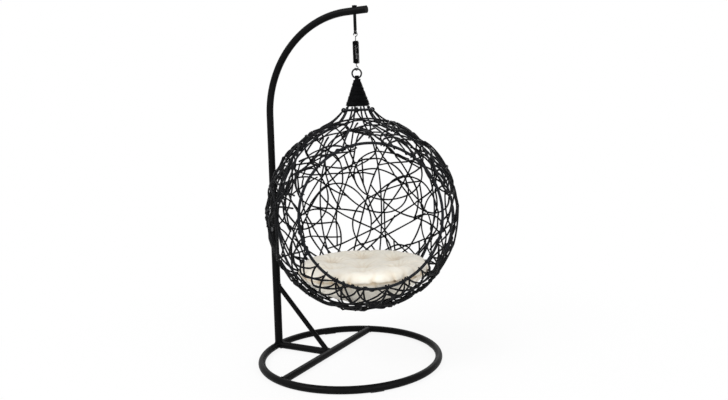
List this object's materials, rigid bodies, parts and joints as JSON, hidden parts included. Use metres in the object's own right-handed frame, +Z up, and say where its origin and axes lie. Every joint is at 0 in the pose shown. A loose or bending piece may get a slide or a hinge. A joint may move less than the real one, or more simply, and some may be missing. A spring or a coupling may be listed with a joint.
{
  "type": "hanging ball cat basket",
  "caption": "Woven ball basket for a cat with a round mouth and a tufted cushion, hung by a spring hook and ring from the curved arm of a tube stand with a ring base.",
  "frame": {"origin": "on the floor, under the middle of the whole object's box", "axes": "+Z up, +X from the post towards the tip of the arm, +Y to the left of that"},
  "size_m": [0.4328, 0.3938, 0.7405],
  "materials": {
    "black_steel": "satin",
    "frame_black": "satin",
    "spring_black": "satin",
    "zinc_steel": "satin",
    "cane_strand": "satin",
    "plug_plastic": "satin",
    "pad_rubber": "matte",
    "cushion_fabric": "matte"
  },
  "bodies": {
    "stand": {"base_ring": "black_steel", "cross_bar": "black_steel", "spine_bar": "black_steel", "lower_post": "black_steel", "brace": "black_steel", "arch_arm": "black_steel", "floor_pads": "pad_rubber", "arm_plug": "plug_plastic", "lock_bolt": "zinc_steel", "lock_nut": "zinc_steel", "hanger_eye_bolt": "black_steel", "hanger_nut": "black_steel"},
    "top_hook": {"upper_hook": "zinc_steel"},
    "spring_unit": {"upper_spring_cup": "plug_plastic", "spring": "spring_black"},
    "spring_end": {"lower_spring_cup": "plug_plastic"},
    "basket": {"lower_hook": "zinc_steel", "hanging_ring": "frame_black", "cone_core": "cane_strand", "cone_winding": "cane_strand", "neck_hoop": "frame_black", "neck_ribs": "frame_black", "frame_ribs": "frame_black", "foot_hoop": "frame_black", "mouth_hoop": "frame_black", "weave_inner": "cane_strand", "weave_middle": "cane_strand", "weave_outer": "cane_strand"},
    "cushion": {"cushion": "cushion_fabric"}
  },
  "joints": [
    {"name": "swing_out", "type": "hinge", "parent": "stand", "child": "top_hook", "pos_m": [0.01675, 0, 0.683], "axis": [0, -1, 0], "range_deg": [-2, 15]},
    {"name": "swing_side", "type": "hinge", "parent": "top_hook", "child": "spring_unit", "pos_m": [0.01675, 0, 0.6634], "axis": [1, 0, 0], "range_deg": [-12, 12]},
    {"name": "bounce", "type": "slide", "parent": "spring_unit", "child": "spring_end", "axis": [0, 0, -1], "range_m": [-0.006, 0.015], "stiffness_N_per_m": 6000, "springref_m": -0.00274, "deforming": ["spring"]},
    {"name": "basket_spin", "type": "hinge", "parent": "spring_end", "child": "basket", "pos_m": [0.01675, 0, 0.6263], "axis": [0, 0, 1], "continuous": true},
    {"name": "cushion_lift", "type": "slide", "parent": "basket", "child": "cushion", "axis": [0, 0, 1], "range_m": [0, 0.08]}
  ]
}
